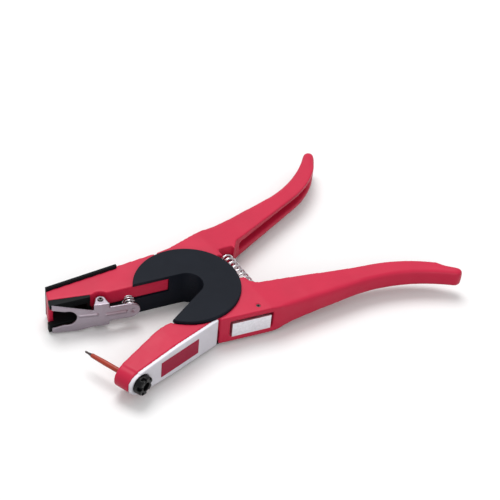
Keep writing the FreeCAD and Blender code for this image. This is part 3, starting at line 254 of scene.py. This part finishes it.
FINISHES = {
    "red_coat": coated("red_coat", srgb(208, 34, 70), srgb(222, 88, 112)),
    "hub_nylon": plastic("hub_nylon", srgb(25, 29, 38), (0.4, 0.5), gloss=0.08),
    "liner_nylon": plastic("liner_nylon", srgb(20, 23, 24), (0.42, 0.55), gloss=0.1),
    "backing_rubber": plastic("backing_rubber", srgb(24, 26, 30), (0.6, 0.75), gloss=0.1),
    "white_plastic": plastic("white_plastic", srgb(244, 241, 250), (0.3, 0.42)),
    "label_red": plastic("label_red", srgb(172, 16, 62), (0.28, 0.36), edge=0.0001, gloss=0.12),
    "nut_nylon": plastic("nut_nylon", srgb(12, 12, 14), (0.3, 0.42), gloss=0.2),
    "sleeve_coating": plastic("sleeve_coating", srgb(172, 62, 42), (0.3, 0.4), edge=0.0),
    "washer_plastic": plastic("washer_plastic", srgb(60, 60, 62)),
    "clip_steel": metal("clip_steel", srgb(168, 158, 168), (0.34, 0.5), (1, 1, 8)),
    "spring_wire": metal("spring_wire", srgb(236, 236, 240), (0.12, 0.22), grain=900, edge=0.0),
    "pin_steel": metal("pin_steel", srgb(96, 88, 88), (0.3, 0.45), grain=900, edge=0.0),
    "latch_zinc": metal("latch_zinc", srgb(232, 232, 238), (0.35, 0.5)),
}
NODE_FINISH = {
    "tag_jaw_lever": "red_coat",
    "pin_jaw_lever": "red_coat",
    "top_cover": "hub_nylon",
    "bottom_cover": "hub_nylon",
    "cover_screws": "pin_steel",
    "eye_washer": "washer_plastic",
    "tag_jaw_backing": "backing_rubber",
    "jaw_liner": "liner_nylon",
    "clip_hinge_pin": "pin_steel",
    "tag_clip": "clip_steel",
    "clip_spring": "spring_wire",
    "applicator_pin": "pin_steel",
    "pin_sleeve": "sleeve_coating",
    "pin_nut": "nut_nylon",
    "pin_jaw_insert": "white_plastic",
    "label_plate": "label_red",
    "latch_lever": "latch_zinc",
    "latch_pivot_pin": "pin_steel",
    "return_spring": "spring_wire",
}


def finish_nodes():
    """Give each CAD piece its material."""
    for name, finish in NODE_FINISH.items():
        mesh = NODES[name].data
        mesh.materials.clear()
        mesh.materials.append(FINISHES[finish])


# ---------------------------------------------------------------- shapes

RECORD = frame["record"]
BODY_OF = {node: body for body, nodes in RECORD["behaviour"]["bodies"].items() for node in nodes}
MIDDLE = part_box("top_cover")[1].z / 2


def mesh_object(name, mesh):
    piece = bpy.data.objects.new(name, mesh)
    bpy.context.scene.collection.objects.link(piece)
    return piece


def dress(piece, node, rides=True):
    """The piece stands for the CAD node: same body, same finish."""
    piece.data.materials.clear()
    piece.data.materials.append(FINISHES[NODE_FINISH[node]])
    if rides:
        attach(piece, BODY_OF[node])
    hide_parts(node)


def applied(piece):
    """The piece with its modifiers applied."""
    graph = bpy.context.evaluated_depsgraph_get()
    mesh = bpy.data.meshes.new_from_object(piece.evaluated_get(graph))
    piece.modifiers.clear()
    piece.data = mesh
    return piece


def turn_xy(point, angle):
    """A point turned about the hub's axis."""
    cos, sin = math.cos(angle), math.sin(angle)
    return point[0] * cos - point[1] * sin, point[0] * sin + point[1] * cos


def closed_block(lower, upper):
    """A closed block between two outlines of as many points."""
    count = len(lower)
    sides = [(i, (i + 1) % count, count + (i + 1) % count, count + i) for i in range(count)]
    mesh = bpy.data.meshes.new("cutter")
    mesh.from_pydata(lower + upper, [], [range(count), range(count, 2 * count)] + sides)
    form = bmesh.new()
    form.from_mesh(mesh)
    bmesh.ops.recalc_face_normals(form, faces=form.faces)
    form.to_mesh(mesh)
    form.free()
    return mesh


def prism(corners, low, high):
    """A closed block with these corners in the XY plane, from low to high."""
    return closed_block(*([(x, y, z) for x, y in corners] for z in (low, high)))


def weld(mesh):
    """Join the corners that lie on one point, so that the mesh is one closed skin."""
    form = bmesh.new()
    form.from_mesh(mesh)
    bmesh.ops.remove_doubles(form, verts=form.verts, dist=0.002 * MM)
    form.to_mesh(mesh)
    form.free()


def cut(piece, meshes):
    """Cut closed blocks away from the piece."""
    weld(piece.data)
    for mesh in meshes:
        tool = mesh_object("cutter", mesh)
        boolean = piece.modifiers.new("cut", "BOOLEAN")
        boolean.operation = "DIFFERENCE"
        boolean.solver = "MANIFOLD"
        boolean.object = tool
        applied(piece)
        bpy.data.objects.remove(tool)
    return piece


def neighbours_mean(points, edges, counts):
    total = np.zeros_like(points)
    np.add.at(total, edges[:, 0], points[edges[:, 1]])
    np.add.at(total, edges[:, 1], points[edges[:, 0]])
    return total / counts[:, None]


def casting(node, grain, cuts=(), soften=5, rounded=None, reshape=None):
    """A finer mesh for a CAD node: cut, remeshed to the grain, its edges softened evenly and, where
    the function rounded says so, strongly, and then moved by the function reshape."""
    piece = cut(mesh_object(node + "_form", NODES[node].data.copy()), cuts)
    remesh = piece.modifiers.new("grain", "REMESH")
    remesh.mode = "VOXEL"
    remesh.voxel_size = grain
    applied(piece)
    mesh = piece.data
    points = np.empty(len(mesh.vertices) * 3)
    mesh.vertices.foreach_get("co", points)
    points = points.reshape(-1, 3)
    edges = np.empty(len(mesh.edges) * 2, int)
    mesh.edges.foreach_get("vertices", edges)
    edges = edges.reshape(-1, 2)
    counts = np.bincount(edges.ravel(), minlength=len(points)).astype(float)
    for _ in range(soften):
        points += 0.5 * (neighbours_mean(points, edges, counts) - points)
    if rounded is not None:
        weight = rounded(points)[:, None] * 0.5
        for _ in range(ROUNDING_STEPS):
            points += weight * (neighbours_mean(points, edges, counts) - points)
    if reshape is not None:
        points = reshape(points)
    mesh.vertices.foreach_set("co", points.ravel())
    mesh.update()
    mesh.shade_smooth()
    dress(piece, node)
    return piece


ROUNDING_STEPS = 90
GRAIN = 0.55 * MM


def smooth_step(values, start, end):
    t = np.clip((values - start) / (end - start), 0, 1)
    return t * t * (3 - 2 * t)


def handle_rounding(node, side):
    """1 along the handle's outer edge and round its end, 0 at its inner edge and the hub."""
    box_low, box_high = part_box(node)
    inner_start, inner_slope = 0.0213, math.tan(math.radians(17))

    def weight(points):
        x, y = points[:, 0], side * points[:, 1]
        inner = inner_start + (x - 0.052) * inner_slope
        out = smooth_step(y - inner, 0.009, 0.013)
        end = 0.3 * smooth_step(x, box_high.x - 0.007, box_high.x - 0.002)
        return np.maximum(out, end) * smooth_step(x, 0.036, 0.05)

    return weight


def lower_handle_rise(points):
    """The lower handle's underside climbs towards its end, and its top falls less."""
    x, z = points[:, 0], points[:, 2] - MIDDLE
    was = np.interp(x, [0.0333, 0.060, 0.113], [0.010, 0.00775, 0.00625])
    low = np.interp(x, [0.045, 0.094], [0.0079, 0.0048])
    high = np.interp(x, [0.045, 0.094, 0.160], [0.0092, 0.0072, 0.0075])
    share = smooth_step(x, 0.036, 0.065)
    factor = np.where(z < 0, low / was, high / was)
    points[:, 2] = z * (1 + share * (factor - 1)) + MIDDLE
    return points


JAW_ANGLE = math.radians(199.5)
THROAT_LINE = math.radians(167.7)


def jaw_root_cutter():
    """The curve from the covers' corner into the pin jaw's inner face."""
    start, end, face, rise = 0.024, 0.044, 0.0085, 0.0062
    steps = 12
    curve = []
    for i in range(steps + 1):
        u = start + (end - start) * i / steps
        curve.append((u, face + rise * ((end - u) / (end - start)) ** 2))
    corners = [(start, 0.0), (end, 0.0)] + curve[::-1]
    low, high = -0.005, 0.03
    return prism([turn_xy(corner, JAW_ANGLE) for corner in corners], low, high)


def jaw_end_cutter():
    """Everything beyond the half-round end of the pin jaw, seen along the pin."""
    radius = 0.00735
    centre = 0.0805 - radius
    far = 0.1
    steps = 20
    arc = []
    for i in range(steps + 1):
        angle = -math.pi / 2 + math.pi * i / steps
        arc.append((centre + radius * math.cos(angle), radius * math.sin(angle)))
    outline = arc + [(centre, 0.02), (far, 0.02), (far, -0.02), (centre, -0.02)]
    rings = []
    for out in (0.0, 0.04):
        flat = [(turn_xy((along, out), JAW_ANGLE), up) for along, up in outline]
        rings.append([(x, y, MIDDLE + up) for (x, y), up in flat])
    return closed_block(*rings)


def bar_hook_cutter():
    """The part of the tag lever's eye that would show in the throat beyond its bar."""
    corners = [(0.005, -0.01038), (0.034, -0.01038), (0.034, 0.004), (0.005, 0.004)]
    return prism([turn_xy(corner, THROAT_LINE) for corner in corners], -0.005, 0.03)


SPRING_LOW = Vector((0.0375, -0.0255, 0))
SPRING_HIGH = Vector((0.0410, 0.0180, 0))


def toe_slot_cutter():
    """The slot in the upper handle's top over the end of the return spring."""
    along = (SPRING_HIGH - SPRING_LOW).normalized()
    side = Vector((along.y, -along.x, 0))
    start = SPRING_HIGH + along * 0.0003
    width = 0.0052
    ends = [start - along * 0.03, start]
    corners = [ends[0] - side * width, ends[0] + side * width, ends[1] + side * width, ends[1] - side * width]
    return prism([(p.x, p.y) for p in corners], MIDDLE, 0.03)


def nut_slot_cutters():
    """Six slots in the nut's rim."""
    low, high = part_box("pin_nut")
    middle = (low + high) / 2
    ahead = Vector((-math.sin(JAW_ANGLE), math.cos(JAW_ANGLE), 0))
    level = Vector((math.cos(JAW_ANGLE), math.sin(JAW_ANGLE), 0))
    up = Vector((0, 0, 1))
    corner = max((v.co.copy() for v in NODES["pin_nut"].data.vertices), key=lambda p: p.dot(ahead))
    face = middle + ahead * (corner - middle).dot(ahead)
    radius = 0.006
    slots = []
    for i in range(6):
        angle = math.radians(60 * i + 15)
        out = level * math.cos(angle) + up * math.sin(angle)
        side = ahead.cross(out)
        base = [out * r + side * w for r, w in SLOT_CORNERS]
        slots.append(
            closed_block(
                [(face - ahead * 0.0024 + p)[:] for p in base],
                [(face + ahead * 0.001 + p)[:] for p in base],
            )
        )
    return slots


SLOT_CORNERS = [(0.0040, -0.0011), (0.0075, -0.0013), (0.0075, 0.0013), (0.0040, 0.0011)]
HINGE_ALONG = 0.0527
HINGE_OFF = 0.0006
TAG_JAW = math.radians(160.3)


def clip_block(outline):
    """A block through the clip's plate, with an outline along and up from its hinge."""
    rings = []
    for out in (0.001, 0.009):
        flat = [(turn_xy((HINGE_ALONG + u, out - HINGE_OFF), TAG_JAW), up) for u, up in outline]
        rings.append([(x, y, MIDDLE + up) for (x, y), up in flat])
    return closed_block(*rings)


def clip_cutters():
    """The clip's straight top edge, and the flared mouth of its slot."""
    top = [(0.0047, 0.0040), (0.0300, 0.0110), (0.0300, 0.0140), (0.0047, 0.0140)]
    mouth = [(0.0215, 0.0051), (0.0300, 0.0074), (0.0300, -0.0074), (0.0215, -0.0051)]
    return [clip_block(top), clip_block(mouth)]


def stamp_clip(points):
    """Press two ribs and a dimple into the clip's plate."""
    cos, sin = math.cos(TAG_JAW), math.sin(TAG_JAW)
    along = points[:, 0] * cos + points[:, 1] * sin - HINGE_ALONG
    out = -points[:, 0] * sin + points[:, 1] * cos + HINGE_OFF
    up = points[:, 2] - MIDDLE
    push = np.zeros(len(points))
    for start, end, height in ((-0.0145, -0.0030, 0.0), (0.0030, 0.0130, 0.0012)):
        far = np.maximum(np.maximum(start - along, along - end), 0)
        push += 0.0007 * np.exp(-(far**2 + (up - height) ** 2) / 0.0009**2)
    push -= 0.0007 * np.exp(-((along + 0.0190) ** 2 + up**2) / 0.0017**2)
    push *= out > 0.0022
    points[:, 0] -= push * sin
    points[:, 1] += push * cos
    return points


def make_castings():
    casting(
        "tag_jaw_lever",
        GRAIN,
        [bar_hook_cutter()],
        rounded=handle_rounding("tag_jaw_lever", -1),
        reshape=lower_handle_rise,
    )
    casting(
        "pin_jaw_lever",
        GRAIN,
        [jaw_root_cutter(), jaw_end_cutter(), toe_slot_cutter()],
        rounded=handle_rounding("pin_jaw_lever", 1),
    )
    casting("pin_jaw_insert", 0.4 * MM, [jaw_end_cutter()], soften=2)
    casting("pin_nut", 0.22 * MM, nut_slot_cutters(), soften=2)
    casting("tag_clip", 0.28 * MM, clip_cutters(), soften=2, reshape=stamp_clip)


# ---------------------------------------------------------------- springs


def wire_mesh(name, path, radius, sides=14):
    """A round wire along a path of points, closed at both ends."""
    path = [Vector(p) for p in path]
    points, faces = [], []
    normal = (path[1] - path[0]).orthogonal().normalized()
    for i, place in enumerate(path):
        ahead = (path[min(i + 1, len(path) - 1)] - path[max(i - 1, 0)]).normalized()
        normal = (normal - ahead * normal.dot(ahead)).normalized()
        other = ahead.cross(normal)
        for j in range(sides):
            angle = 2 * math.pi * j / sides
            points.append(place + (normal * math.cos(angle) + other * math.sin(angle)) * radius)
    for i in range(len(path) - 1):
        for j in range(sides):
            a, b = i * sides + j, i * sides + (j + 1) % sides
            faces.append((a, b, b + sides, a + sides))
    last = (len(path) - 1) * sides
    faces.append(tuple(reversed(range(sides))))
    faces.append(tuple(range(last, last + sides)))
    mesh = bpy.data.meshes.new(name)
    mesh.from_pydata(points, [], faces)
    mesh.shade_smooth()
    return mesh


def coil_path(start, end, radius, turns, dead_turns, wire, steps=28):
    """A helix between two seats with close dead turns at both ends."""
    along = (end - start).normalized()
    length = (end - start).length
    side = along.cross(Vector((0, 0, 1))).normalized()
    up = side.cross(along)
    pitch_dead = wire * 1.05
    open_length = length - wire - 2 * dead_turns * pitch_dead
    path = []
    total = turns + 2 * dead_turns
    for i in range(int(total * steps) + 1):
        turn = i / steps
        rise = min(turn, dead_turns) * pitch_dead
        rise += min(max(turn - dead_turns, 0), turns) * open_length / turns
        rise += max(turn - dead_turns - turns, 0) * pitch_dead
        angle = 2 * math.pi * turn
        path.append(
            start
            + along * (rise + wire / 2)
            + (side * math.cos(angle) + up * math.sin(angle)) * radius
        )
    return path


def make_springs():
    lift = Vector((0, 0, MIDDLE))
    low, high = SPRING_LOW + lift, SPRING_HIGH + lift
    coil = coil_path(low, high, 0.0043, 10, 1.0, 0.0014)
    spring = mesh_object("return_spring_wire", wire_mesh("return_spring_wire", coil, 0.0007))
    dress(spring, "return_spring", rides=False)
    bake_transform(spring)
    box_low, box_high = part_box("clip_spring")
    middle = (box_low + box_high) / 2
    clip = NODES["tag_clip"]
    jaw = math.radians(160.3)
    along = Vector((-math.sin(jaw), math.cos(jaw), 0))
    half = 0.5 * CLIP_SPRING_LENGTH
    seat = middle + along * half
    tip = middle - along * half
    coil = coil_path(seat, tip, 0.0034, 3, 0.75, 0.001)
    spring = mesh_object("clip_spring_wire", wire_mesh("clip_spring_wire", coil, 0.0005))
    dress(spring, "clip_spring", rides=False)
    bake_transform(spring)


CLIP_SPRING_LENGTH = 0.0095


# ---------------------------------------------------------------- room


def make_room():
    """A pale floor, soft light from above and behind, and a white surround."""
    scene = bpy.context.scene
    scene.view_settings.view_transform = "Standard"
    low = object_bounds()[0][2]
    side = 3.0
    mesh = bpy.data.meshes.new("floor")
    corners = [(-side, -side, low), (side, -side, low), (side, side, low), (-side, side, low)]
    mesh.from_pydata(corners, [], [(0, 1, 2, 3)])
    floor = mesh_object("floor", mesh)
    shade = Shade("floor_paper")
    shade.set(Roughness=0.9, Specular_IOR_Level=0.0)
    path = shade.add("ShaderNodeLightPath")
    seen = shade.add("ShaderNodeMath", operation="MAXIMUM")
    shade.link(path.outputs["Is Camera Ray"], seen.inputs[0])
    shade.link(path.outputs["Is Glossy Ray"], seen.inputs[1])
    clear = shade.add("ShaderNodeMath", operation="MAXIMUM")
    shade.link(seen.outputs["Value"], clear.inputs[0])
    shade.link(path.outputs["Is Transmission Ray"], clear.inputs[1])
    paper, bounce = (0.97, 0.97, 0.97, 1), (0.3, 0.3, 0.3, 1)
    shade.color(shade.mix(clear.outputs["Value"], bounce, paper))
    mesh.materials.append(shade.material)

    world = bpy.data.worlds.new("studio")
    scene.world = world
    world.use_nodes = True
    world.node_tree.nodes["Background"].inputs["Color"].default_value = (1, 1, 1, 1)
    world.node_tree.nodes["Background"].inputs["Strength"].default_value = WORLD

    def lamp(name, place, size, power):
        data = bpy.data.lights.new(name, "AREA")
        data.shape = "DISK"
        data.size = size
        data.energy = power
        light = bpy.data.objects.new(name, data)
        light.location = place
        light.rotation_euler = (-Vector(place)).to_track_quat("-Z", "Y").to_euler()
        scene.collection.objects.link(light)

    for name, place, size, power in LAMPS:
        lamp(name, place, size, power)


WORLD = 0.58
LAMPS = [("key", (0.25, 0.75, 1.7), 1.1, 19), ("fill", (-0.7, -1.3, 0.8), 1.0, 6)]


make_camera()
finish_nodes()
make_castings()
make_springs()
make_room()
